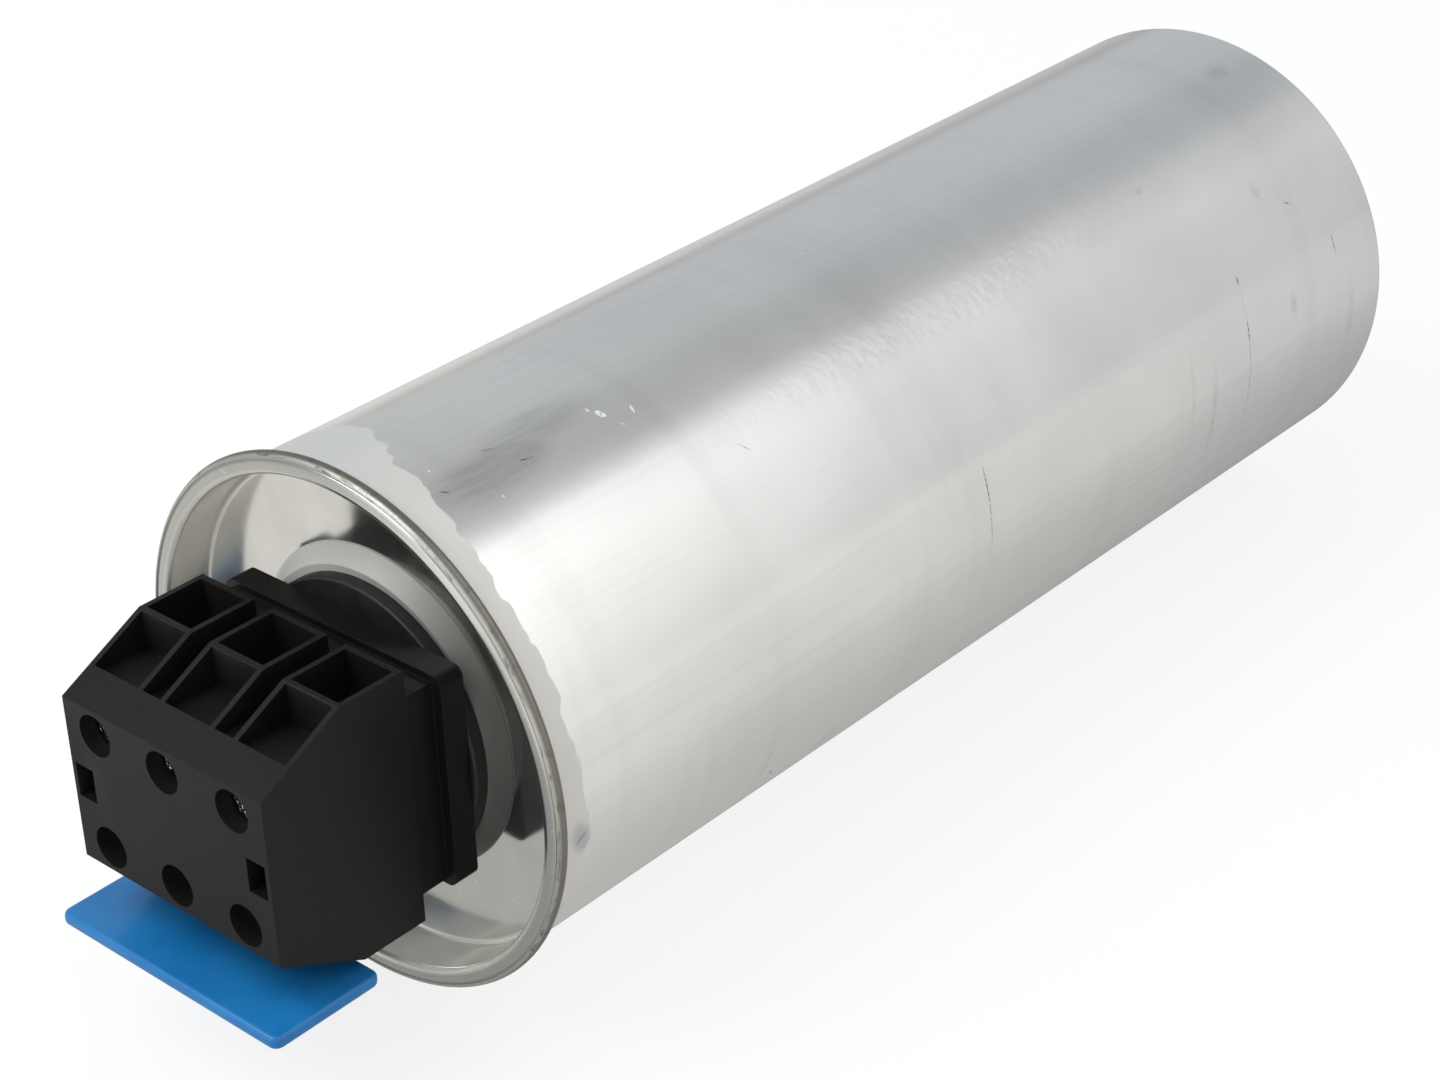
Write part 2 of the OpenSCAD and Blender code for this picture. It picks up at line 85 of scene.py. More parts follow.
# %% Camera
aim = Vector((9.1, -206.1, 0)) * mm
distance = 693.9 * mm
bearing, height, tilt = map(math.radians, (42.04, 29.85, 1.68))
away = Vector((math.sin(bearing) * math.cos(height),
               -math.cos(bearing) * math.cos(height), math.sin(height)))
lens_data = bpy.data.cameras.new("camera")
lens_data.lens, lens_data.sensor_width = 76.47, 36
lens_data.clip_start, lens_data.clip_end = 0.01, 50
camera = bpy.data.objects.new("camera", lens_data)
camera.matrix_world = (Matrix.Translation(aim + away * distance)
                       @ (-away).to_track_quat("-Z", "Y").to_matrix().to_4x4()
                       @ Matrix.Rotation(-tilt, 4, "Z"))
bpy.context.collection.objects.link(camera)
bpy.context.scene.camera = camera
bpy.context.scene.view_settings.view_transform = "Standard"
print("camera at", camera.matrix_world.translation / mm, "mm")

# %% [markdown]
# ## Turning and rounding
#
# Two ways of making a mesh serve nearly every piece. Round pieces are turned, as on a
# lathe: a few points draw half of the section, and `bmesh.ops.spin` carries them round.
# Moulded and stamped pieces keep the shape that the CAD gives them, but no real edge is
# perfectly sharp. A copy of the CAD mesh is merged, its flat triangles are dissolved into
# whole faces, and a Bevel modifier rounds the edges, so that they catch the light.

# %% Helpers for meshes
crease = 35  # degrees past which two faces meet in an edge
coplanar = 0.5  # degrees within which triangles count as one flat face
same = 0.001 * mm  # corners closer than this are merged


def piece(name, mesh, *nodes, sharp=crease):
    """Makes a shaded object from a bmesh. It stands for the CAD nodes that are named."""
    bmesh.ops.recalc_face_normals(mesh, faces=mesh.faces)
    data = bpy.data.meshes.new(name)
    mesh.to_mesh(data)
    mesh.free()
    data.shade_smooth()
    data.set_sharp_from_angle(angle=math.radians(sharp))
    made = bpy.data.objects.new(name, data)
    bpy.context.collection.objects.link(made)
    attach(made, "root")
    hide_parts(*nodes)
    print(name, len(data.polygons), "faces")
    return made


def arc(centre, radius, start, end, steps=8):
    """Points on an arc about a centre (radius, distance), with its angles in degrees."""
    angles = [math.radians(start + (end - start) * i / steps) for i in range(steps + 1)]
    return [(centre[0] + radius * math.cos(a), centre[1] + radius * math.sin(a)) for a in angles]


def turn(mesh, section, steps, centre=0.0):
    """Spins a section of (radius, distance from the base) points, in mm, round the Y axis."""
    points = [mesh.verts.new(((centre + r) * mm, -s * mm, 0)) for r, s in section]
    lines = [mesh.edges.new(pair) for pair in zip(points, points[1:])]
    bmesh.ops.spin(mesh, geom=points + lines, cent=(centre * mm, 0, 0), axis=(0, 1, 0),
                   angle=math.tau, steps=steps, use_merge=True)
    bmesh.ops.remove_doubles(mesh, verts=mesh.verts, dist=same)


def rounded_copy(node, edge, segments=2):
    """A merged copy of a CAD node whose sharp edges a live Bevel modifier rounds."""
    mesh = bmesh.new()
    mesh.from_mesh(frame["nodes"][node].data)
    bmesh.ops.remove_doubles(mesh, verts=mesh.verts, dist=same)
    bmesh.ops.dissolve_limit(mesh, angle_limit=math.radians(coplanar),
                             verts=mesh.verts, edges=mesh.edges)
    made = piece(node + "_rounded", mesh, node)
    bevel = made.modifiers.new("rounded edges", "BEVEL")
    bevel.width, bevel.segments = edge * mm, segments
    bevel.limit_method, bevel.angle_limit = "ANGLE", math.radians(crease)
    bevel.harden_normals = True
    return made


# %% [markdown]
# ## Can
#
# The can is pressed from one slug of aluminium: a thick base, a thin wall, and a narrow
# flange at the open end that the lid grips. Half of its section is a line of straight
# runs and arcs, so it is turned in one go, wall thickness and all.

# %% The can's wall
can_r, wall, base, base_edge = 58, 1.0, 2.5, 1.8
lid_sheet, seam_gap, flange_bend = 0.9, 0.07, 0.5
rim_r, rim_inner, rim_fall, compound = 61, 1.6, 8, 0.2
length = -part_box("lid")[0].y / mm
can_top = -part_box("can")[0].y / mm
fold_r = (2 * lid_sheet + wall + compound + 2 * seam_gap) / 2
fold = (rim_r - fold_r, can_top - wall - seam_gap - lid_sheet + fold_r)
bend_at = (can_r + flange_bend, can_top - wall - flange_bend)
can_section = [(0, 0)] + arc((can_r - base_edge, base_edge), base_edge, -90, 0)
can_section += arc(bend_at, flange_bend, 180, 90)
can_section += [(fold[0], can_top - wall), (fold[0], can_top)]
can_section += arc(bend_at, flange_bend + wall, 90, 180)
can_section += arc((can_r - wall - base_edge, base + base_edge), base_edge, 0, -90)
can_section += [(0, base)]
mesh = bmesh.new()
turn(mesh, can_section, steps=256)
can = piece("can_body", mesh, "can")

# %% [markdown]
# ## Stud
#
# A fixing stud grows out of the base in the same pressing, and its thread is rolled on.
# One pitch of the thread is a line of root, flank, crest and flank. Spinning that line
# while it climbs by one pitch a turn gives the whole thread, each turn meeting the next.
# Two cuts trim the ends square, and the tip is narrowed to the cone of its chamfer. The
# lower end is sunk a little into the base, so that no gap shows between the two.

# %% Threaded stud
stud_r, pitch, chamfer, sunk = 6, 1.75, 1.0, 0.5
stud_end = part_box("can")[1].y / mm
# a metric thread is 0.61 of its pitch deep
root_r = stud_r - 0.61 * pitch
spare = 2  # turns that start below the base, for the cut
turns = math.ceil(stud_end / pitch) + spare + 1
# radius, and share of the pitch
thread = [(root_r, 0), (root_r, 0.25), (stud_r, 0.56), (stud_r, 0.69), (root_r, 1)]
mesh = bmesh.new()
points = [mesh.verts.new((r * mm, (rise - spare) * pitch * mm, 0)) for r, rise in thread]
lines = [mesh.edges.new(pair) for pair in zip(points, points[1:])]
steps = 32
bmesh.ops.spin(mesh, geom=points + lines, cent=(0, 0, 0), axis=(0, 1, 0),
               angle=math.tau * turns, dvec=(0, pitch * mm / steps, 0), steps=steps * turns,
               use_merge=False)
bmesh.ops.remove_doubles(mesh, verts=mesh.verts, dist=2 * same)
for at, way in ((-sunk, -1), (stud_end, 1)):
    bmesh.ops.bisect_plane(mesh, geom=mesh.verts[:] + mesh.edges[:] + mesh.faces[:],
                           plane_co=(0, at * mm, 0), plane_no=(0, way, 0), clear_outer=True)
    ends = [e for e in mesh.edges if e.is_boundary
            and all(abs(v.co.y - at * mm) < 0.1 * same for v in e.verts)]
    bmesh.ops.holes_fill(mesh, edges=ends)
for v in mesh.verts:
    radius = math.hypot(v.co.x, v.co.z)
    most = (stud_r - chamfer) * mm + stud_end * mm - v.co.y
    if radius > most:
        v.co.x, v.co.z = v.co.x * most / radius, v.co.z * most / radius
stud = piece("fixing_stud", mesh, "can", sharp=25)

# %% [markdown]
# ## Lid
#
# The lid is pressed from thinner sheet: a raised middle for the terminals, a flat floor,
# an upright wall, and an edge that is rolled over the can's flange and folded flat under
# it. Both skins of the sheet follow the same line, a little apart, so one function draws
# it at any depth below the upper skin. The rollers leave the upper skin of the rim domed,
# with a groove before its outer bead, which the lower skin doesn't follow.

# %% The lid, with its folded rim
seal_t, fold_gap = 3.2, 0.3
floor_s = -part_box("lid")[1].y / mm + lid_sheet
plateau_r, step_bend, step_slope, foot_bend = 33.8, 0.5, 51, 1.3
plateau_s = -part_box("terminal_seal")[0].y / mm - seal_t
chuck_r = can_r - wall - seam_gap - lid_sheet
crest = (chuck_r + rim_inner, length - rim_inner)
# the groove's radius, and how far it lies below the crest
groove = [(58.5, 0.17), (59.0, 0.32), (59.35, 0.46), (59.52, 0.68), (59.66, 0.68), (59.84, 0.42)]
dome_end, bead_start, bead_wear = 76, 68, 0.02


def lid_skin(depth):
    """The lid's line, from the edge of its raised middle to the end of the fold."""
    slope = math.radians(step_slope)
    top, foot = plateau_s - step_bend, floor_s + step_bend
    run = (top - foot + 2 * step_bend * math.cos(slope)) / math.sin(slope)
    foot_x = plateau_r - step_bend + 2 * step_bend * math.sin(slope) + run * math.cos(slope)
    line = arc((plateau_r - step_bend, top), step_bend - depth, 90, 90 - step_slope)
    line += arc((foot_x, foot), step_bend + depth, 270 - step_slope, 270)
    line += arc((chuck_r - foot_bend, floor_s + foot_bend), foot_bend + depth, 270, 360)
    if depth:
        line += arc(crest, rim_inner - depth, 180, 90 - rim_fall, 12)
        line += arc(fold, fold_r - depth, 90 - rim_fall, -90, 14)
    else:
        line += arc(crest, rim_inner, 180, dome_end, 12)
        line += [(r, length - below) for r, below in groove]
        line += arc(fold, fold_r - bead_wear, bead_start, -90, 14)
    return line + [(can_r + fold_gap, fold[1] - fold_r + depth)]


upper = [(0, plateau_s)] + lid_skin(0)
lower = [(0, plateau_s - lid_sheet)] + lid_skin(lid_sheet)
mesh = bmesh.new()
turn(mesh, upper + lower[::-1], steps=256)
lid = piece("lid_pressing", mesh, "lid")
print("rim: crest at", length, "mm, floor", length - floor_s, "mm below it")

# %% [markdown]
# ## Seal
#
# A black rubber disc seals the lid under the terminals, with a collar round each pin. Its
# upper edge is moulded round, and it was laid a little off the centre of the lid.

# %% Rubber seal
seal_r, seal_edge = 32.6, 0.7
off_centre = (0.7 * mm, 0, -0.5 * mm)
pin_pitch, bore_r, collar_r = 20.5, 3.2, 6.5
seal_top = -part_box("terminal_seal")[0].y / mm
collar_s = -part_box("terminal_seal")[1].y / mm
disc = [(0, plateau_s), (seal_r, plateau_s)]
disc += arc((seal_r - seal_edge, seal_top - seal_edge), seal_edge, 0, 90) + [(0, seal_top)]
collar = [(bore_r, plateau_s), (bore_r, collar_s), (collar_r, collar_s), (collar_r, plateau_s)]
mesh = bmesh.new()
turn(mesh, disc, steps=160)
bmesh.ops.translate(mesh, vec=off_centre, verts=mesh.verts)
for phase in (-1, 0, 1):
    turn(mesh, collar, steps=48, centre=phase * pin_pitch)
seal = piece("rubber_seal", mesh, "terminal_seal")

# %% [markdown]
# ## Terminal block
#
# The block is moulded in glass-filled polyamide, in two parts that snap together. Their
# shape is right as it comes, and only the edges need care: a moulding tool leaves them
# round by a few tenths of a millimetre, and those thin lines of light are what the eye
# reads as plastic. The clamps, bars and screws inside are rounded in the same way.

# %% Moulded and stamped pieces
housing = rounded_copy("terminal_housing", 0.3)
foot = rounded_copy("terminal_base", 0.45, 3)
screws = rounded_copy("terminal_screws", 0.2)
nuts = rounded_copy("pin_nuts", 0.3)
cages = [rounded_copy(f"clamp_cage_{i}", 0.35) for i in range(1, 7)]
bars = [rounded_copy(f"phase_bar_{i}", 0.25) for i in range(1, 4)]
contacts = [rounded_copy(f"discharge_contact_{i}", 0.15) for i in range(1, 4)]

# %% [markdown]
# ## Discharge board
#
# The resistors that drain the capacitor are printed on a small ceramic plate, which is
# dipped in blue epoxy. The coat pulls itself round over every corner. A cube is sized to
# the board, its four upright corners are bevelled first, and then the edges of both
# faces, so that the rounding runs smoothly round the corners.

# %% Epoxy-coated board
board_low, board_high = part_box("discharge_board")
corner, coat = 2.2, 1.05
mesh = bmesh.new()
bmesh.ops.create_cube(mesh, size=1)
bmesh.ops.scale(mesh, vec=board_high - board_low, verts=mesh.verts)
bmesh.ops.translate(mesh, vec=(board_high + board_low) / 2, verts=mesh.verts)
upright = [e for e in mesh.edges if abs(e.verts[0].co.z - e.verts[1].co.z) > mm]
bmesh.ops.bevel(mesh, geom=upright, offset=corner * mm, segments=8, profile=0.5,
                affect="EDGES", material=-1)
level_faces = [f for f in mesh.faces if abs(f.normal.z) > 0.9]
outline = list({e for f in level_faces for e in f.edges})
bmesh.ops.bevel(mesh, geom=outline, offset=coat * mm, segments=6, profile=0.5,
                affect="EDGES", material=-1)
board = piece("discharge_board_coated", mesh, "discharge_board", sharp=60)

# %% [markdown]
# ## Colours and nodes
#
# Every finish is a small graph of nodes round a Principled shader. One function turns the
# hex colours that people write into the linear values that light works with, one adds a
# node of any kind, one starts a material, and one plugs its colour, roughness and relief
# into the shader. What is the same all over a surface is set straight on the shader, and
# only what varies gets nodes.

# %% Helpers for materials
def linear(hex_colour):
    """An sRGB hex colour as linear RGBA."""
    parts = [int(hex_colour[i:i + 2], 16) / 255 for i in (1, 3, 5)]
    return [p / 12.92 if p <= 0.04045 else ((p + 0.055) / 1.055) ** 2.4 for p in parts] + [1]


def add(tree, kind, *values, take=None, stops=(), **settings):
    """Adds a node, and gives its first output or the one that take names.

    The values fill its inputs in order, and a setting that is called like an input fills
    that one. A value is a number, a hex colour, or an output of another node to link.
    """
    node = tree.nodes.new("ShaderNode" + kind)
    for key, value in settings.items():
        if key not in node.inputs:
            setattr(node, key, value)
    filled = list(zip([socket for socket in node.inputs if socket.enabled], values))
    filled += [(node.inputs[key], settings[key]) for key in settings if key in node.inputs]
    for socket, value in filled:
        if isinstance(value, bpy.types.NodeSocket):
            tree.links.new(value, socket)
        else:
            socket.default_value = linear(value) if isinstance(value, str) else value
    if stops:
        ramp = node.color_ramp.elements
        while len(ramp) < len(stops):
            ramp.new(1)
        for element, (at, colour) in zip(ramp, stops):
            element.position, element.color = at, colour
    outputs = [socket for socket in node.outputs if socket.enabled]
    return node.outputs[take] if take else outputs[0] if outputs else None


def start(name, constants=None):
    """A material with its constants on a Principled shader, and its Object coordinates."""
    made = bpy.data.materials.new(name)
    made.use_nodes = True
    shader = made.node_tree.nodes["Principled BSDF"]
    for key, value in (constants or {}).items():
        shader.inputs[key].default_value = value
    return made, made.node_tree, shader, add(made.node_tree, "TexCoord", take="Object")


def dress(tree, shader, tone, rough, height, depth):
    """Links a colour and a roughness to a shader, and a relief of some depth in mm."""
    bump = add(tree, "Bump", Height=height, Distance=depth * mm)
    for name, value in (("Base Color", tone), ("Roughness", rough), ("Normal", bump)):
        tree.links.new(value, shader.inputs[name])


print("a mid grey, #808080, is", round(linear("#808080")[0], 3), "of white in linear light")

# %% [markdown]
# ## Patterns
#
# Two patterns come back in every finish. Blotches are noise whose size is written in
# millimetres of the real surface. Laying is what a painter does: one colour after another
# goes over what is there, each as strongly as its mask allows.

# %% Helpers for patterns
def blotches(tree, where, size, detail=2, stretch=(1, 1, 1), rough=0.5):
    """Noise in blotches of about a size in mm, drawn out along each axis by stretch."""
    placed = add(tree, "Mapping", where, Scale=[1 / (size * mm * s) for s in stretch])
    return add(tree, "TexNoise", placed, 1, detail, rough)


def lay(tree, tone, *layers):
    """Lays colours over a tone in turn. Each layer is a mask from 0 to 1 and a colour."""
    for mask, colour in layers:
        tone = add(tree, "Mix", mask, tone, colour, data_type="RGBA")
    return tone


finishes = {}
print("blotches of 2 mm are noise at a scale of", round(1 / (2 * mm)), "to the metre")

# %% [markdown]
# ## Drawn aluminium: the unrolled wall
#
# The can's wall was drawn through a die and handled in a factory, and it carries single
# marks that sit at places of their own. For them the wall is unrolled: the angle round
# the axis, times the radius, gives millimetres of arc, and a Mapping node centres, turns
# and scales one ellipse for each mark.

# %% Drawn aluminium: the unrolled wall
def unrolled(tree, where):
    """The wall laid flat, and its two measures: mm round the can, and mm from the base."""
    x, y, z = (add(tree, "SeparateXYZ", where, take=axis) for axis in "XYZ")
    angle = add(tree, "Math", z, x, operation="ARCTAN2")
    across = add(tree, "Math", angle, float(can_r), operation="MULTIPLY")
    along = add(tree, "Math", y, -1 / mm, operation="MULTIPLY")
    return add(tree, "CombineXYZ", across, along), across, along


def mark(tree, flat, angle, along, half_long, half_wide, tilt, soft):
    """A mark in an ellipse on the unrolled wall: 1 inside it, and 0 past its soft edge."""
    placed = add(tree, "Mapping", flat, vector_type="TEXTURE",
                 Location=(math.radians(angle) * can_r, along, 0),
                 Rotation=(0, 0, math.radians(tilt)), Scale=(half_long, half_wide, 1))
    far = add(tree, "VectorMath", placed, operation="LENGTH", take="Value")
    return add(tree, "MapRange", far, 1 - soft, 1, 1.0, 0.0, interpolation_type="SMOOTHSTEP")


def marks(tree, flat, places):
    """The strongest of several marks, each given with its strength first."""
    strongest = 0.0
    for strength, *place in places:
        one = add(tree, "Math", mark(tree, flat, *place), strength, operation="MULTIPLY")
        strongest = add(tree, "Math", strongest, one, operation="MAXIMUM")
    return strongest


print("the wall unrolls to", round(math.tau * can_r, 1), "by", round(length, 1), "mm")

# %% [markdown]
# ## Drawn aluminium: its marks
#
# There are scratches round the can and a few across it, grey smudges, rubbed rings near
# the base, and chips of a white coating. Each mark is a row of numbers in a list, and
# the strongest one wins where two of them meet.

# %% Drawn aluminium: its marks
# strength, angle, distance from the base, half length round the can, half width, tilt, softness
scratches = [
    (0.5, 8, 168.8, 14, 0.35, 0, 0.9), (0.9, 14, 168.8, 7, 0.35, 1, 0.8),
    (0.4, 3, 62.5, 27, 0.35, 0, 0.9), (0.8, 12, 62.5, 4, 0.5, 0, 0.8),
    (0.7, 25, 62.5, 1.6, 0.5, 0, 0.8), (0.7, 20, 20.5, 4, 0.35, 0, 0.8),
    (0.7, 35, 32.5, 2, 0.35, 60, 0.7), (0.5, -26, 241.8, 12, 0.35, 0, 0.9),
    (0.8, -31, 237, 3, 0.6, 40, 0.8), (0.7, 84.5, 170, 1.2, 0.25, 10, 0.7),
    (0.9, 69.4, 276, 2.4, 0.3, 78, 0.7), (0.8, 71.5, 297, 1.6, 0.3, 55, 0.7),
    (0.6, 76, 281, 2.6, 0.25, 70, 0.8), (0.5, 48.8, 230, 2.4, 0.3, 40, 0.8),
]
smudges = [
    (0.7, 71, 284, 8, 22, 4, 0.8), (0.45, 76, 266, 7, 20, 0, 0.9),
    (0.30, -3, 78, 18, 1.6, 0, 0.9), (0.22, 5, 87.5, 15, 1.4, 0, 0.9),
    (0.35, 11, 41.8, 5, 2.2, 0, 0.9), (0.30, 42, 41.8, 4, 2.2, 0, 0.9),
    (0.22, -2, 15, 16, 2.2, 0, 0.9), (0.35, 75, 17.5, 4, 6, 0, 0.9),
    (0.35, -33, 217, 5, 6, 20, 0.9), (0.30, 55.6, 77.5, 1.5, 2, 0, 0.9),
]
chips = [
    (1.0, 70.6, 253, 1.5, 0.9, 15, 0.25), (1.0, 68.1, 246, 1.3, 0.35, -20, 0.3),
    (0.9, 73, 254.6, 0.7, 0.4, 0, 0.3), (0.7, 66, 251, 0.6, 0.25, 30, 0.3),
    (0.8, 64.4, 287.5, 0.35, 0.3, 0, 0.3), (0.7, 78, 295, 0.4, 0.3, 0, 0.3),
]
# the stretch of wall where the metal is pitted like orange peel
peeled = (55, 150, 11, 115, 0, 0.8)
print(len(scratches), "scratches,", len(smudges), "smudges,", len(chips), "chips")

# %% [markdown]
# ## Drawn aluminium: its lacquer
#
# Beside the rim a sealing lacquer has run over the wall and dried, further in some places
# than in others. A ramp over the angle holds how far it ran, and noise frays its edge.

# %% Drawn aluminium: its lacquer
# angle, and how far the lacquer has run from the crest of the rim there
lacquer_edge = [(-180, 10), (-40, 10), (-13, 8.6), (-8, 14), (0, 10.7), (30, 9.7), (56, 9.4),
                (63, 12.3), (70, 11.5), (75, 15), (81, 14), (89, 16.5), (105, 25.5), (125, 18),
                (150, 11), (180, 10)]
lacquer_most = 30.0  # mm that a full white in the ramp stands for
# a grey blot in the lacquer, and its darker core: the values of a mark, and a colour
blots = [((-7, length - 9.5, 6, 3.6, 20, 0.7), "#C6C7C7"),
         ((-7, length - 9.5, 0.6, 2.6, 35, 0.9), "#9C9D9D")]


def lacquer_cover(tree, where, across, along):
    """Where the lacquer lies, from 0 to 1, and the share of the way round the can."""
    round_share = add(tree, "MapRange", across, -math.pi * can_r, math.pi * can_r)
    ran = [((angle + 180) / 360, [far / lacquer_most] * 3 + [1]) for angle, far in lacquer_edge]
    run = add(tree, "ValToRGB", round_share, stops=ran)
    run.node.color_ramp.interpolation = "B_SPLINE"
    run = add(tree, "Math", run, lacquer_most, operation="MULTIPLY")
    rough_edge = blotches(tree, where, 5, detail=1, rough=0.3)
    fray = add(tree, "MapRange", rough_edge, 0.3, 0.7, -0.8, 0.8)
    reach = add(tree, "Math", run, fray, operation="ADD")
    reach = add(tree, "Math", along, reach, operation="ADD")
    return add(tree, "MapRange", reach, length - 0.25, length + 0.25), round_share


def lacquer_tone_with_painted_shade(tree, flat, clouds, round_share):
    """Dried lacquer: a warm off-white, with painted shade that turns it grey over the top, and a
    blot in it.
    """
    cloudy = add(tree, "MapRange", clouds, 0.35, 0.65)
    film = add(tree, "Mix", cloudy, "#E3E0D8", "#EBE8E1", data_type="RGBA")
    # painted shade: the film turns grey over the top of the can
    film = lay(tree, film, (add(tree, "MapRange", round_share, 0.69, 0.77), "#D2D3D1"))
    return lay(tree, film, *((mark(tree, flat, *place), grey) for place, grey in blots))


print("the lacquer has run", max(far for _, far in lacquer_edge), "mm at most")

# %% [markdown]
# ## Drawn aluminium: the finish
#
# Up close the wall shows fine streaks along the draw and soft clouds where the polish is
# uneven. Both are noise in Object coordinates, so they close round the can without a
# seam. The marks are laid over the metal in the order in which they came about: first
# the streaks of the draw, then the rubbed smudges, then the scratches and chips, and last
# the matte lacquer.

# %% Drawn aluminium: the finish
def drawn_aluminium():
    """Bare drawn aluminium: bright, softly blurred, faintly streaked along its length."""
    made, tree, shader, where = start("drawn_aluminium")
    flat, across, along = unrolled(tree, where)
    streaks = blotches(tree, where, 1.6, stretch=(1, 60, 1))
    clouds = blotches(tree, where, 40)
    rings = blotches(tree, where, 9, stretch=(14, 1, 14))
    ragged = blotches(tree, where, 0.8)

    # the tone of the metal turns from cool near the base to warm near the rim
    cloudy = add(tree, "MapRange", clouds, 0.3, 0.7)
    cool = add(tree, "Mix", cloudy, "#E3E4E5", "#EBECED", data_type="RGBA")
    warm = add(tree, "Mix", cloudy, "#E6E5E3", "#EEEDEB", data_type="RGBA")
    toward_rim = add(tree, "MapRange", along, 40, 290)
    tone = add(tree, "Mix", toward_rim, cool, warm, data_type="RGBA")

    # noise breaks the marks up: where it lets them start and lets all through, and its least
    smear = blotches(tree, where, 1.4, stretch=(1, 9, 1))
    broken = [(smudges, smear, 0.3, 0.65, 0.3), (scratches, ragged, 0.35, 0.55, 0.0),
              (chips, ragged, 0.3, 0.45, 0.0)]
    rubbed, cut, chipped = (
        add(tree, "Math", marks(tree, flat, places),
            add(tree, "MapRange", noise, low, high, least, 1.0), operation="MULTIPLY")
        for places, noise, low, high, least in broken)
    lacquer, round_share = lacquer_cover(tree, where, across, along)
    tone = lay(tree, tone,
               (add(tree, "MapRange", streaks, 0.5, 0.8, 0.0, 0.12), "#C4C5C6"),
               (add(tree, "MapRange", rings, 0.55, 0.8, 0.0, 0.14), "#BDBEBE"),
               (rubbed, "#A9AAA6"), (cut, "#54534E"), (chipped, "#F4F4F2"),
               (lacquer, lacquer_tone_with_painted_shade(tree, flat, clouds, round_share)))

    # smudges, chips and lacquer are dull, and chips and lacquer aren't metal
    rough = add(tree, "Math", add(tree, "MapRange", streaks, 0.3, 0.7, 0.18, 0.22),
                add(tree, "MapRange", clouds, 0.3, 0.7, -0.02, 0.03), operation="ADD")
    for cover in (rubbed, chipped, lacquer):
        dull = add(tree, "Math", cover, 0.6, operation="MULTIPLY")
        rough = add(tree, "Math", rough, dull, operation="MAXIMUM")
    film = add(tree, "Math", lacquer, 0.75, operation="MULTIPLY")
    painted = add(tree, "Math", film, chipped, operation="MAXIMUM")
    bare = add(tree, "Math", 1.0, painted, operation="SUBTRACT")
    tree.links.new(bare, shader.inputs["Metallic"])

    peel = add(tree, "Math", blotches(tree, where, 2.6, detail=1), mark(tree, flat, *peeled),
               operation="MULTIPLY")
    dress(tree, shader, tone, rough, peel, 0.05)
    return made


finishes["drawn_aluminium"] = drawn_aluminium()
print("drawn aluminium:", len(finishes["drawn_aluminium"].node_tree.nodes), "nodes")

# %% [markdown]
# ## Pressed aluminium
#
# The lid's sheet comes bright from the mill and stays almost mirror-like where the press
# didn't touch it: the black block shows in it as a dark shape. The press rubs the step up
# to the raised middle dull, so that ring is made rough and only part metal. Its tone is
# painted shade: light on the left and dark on the right, where it turns away from the
# room. The rim is another story. The rollers that fold it leave it grey and nicked. So
# the finish changes with the distance from the axis, in a few rings.

# %% Pressed aluminium
# rings of the lid by their distance from the axis in mm: where each starts, and is full
lid_rings = [
    (plateau_r + 3.5, plateau_r + 3.2),  # all that lies inside the foot of the step
    (chuck_r - 1.6, chuck_r - 0.6),  # upright wall
    (crest[0] - 0.6, crest[0]),  # rolled rim
    (59.7, 60.1),  # outer bead
    (60.5, 60.8),  # its outermost edge
]


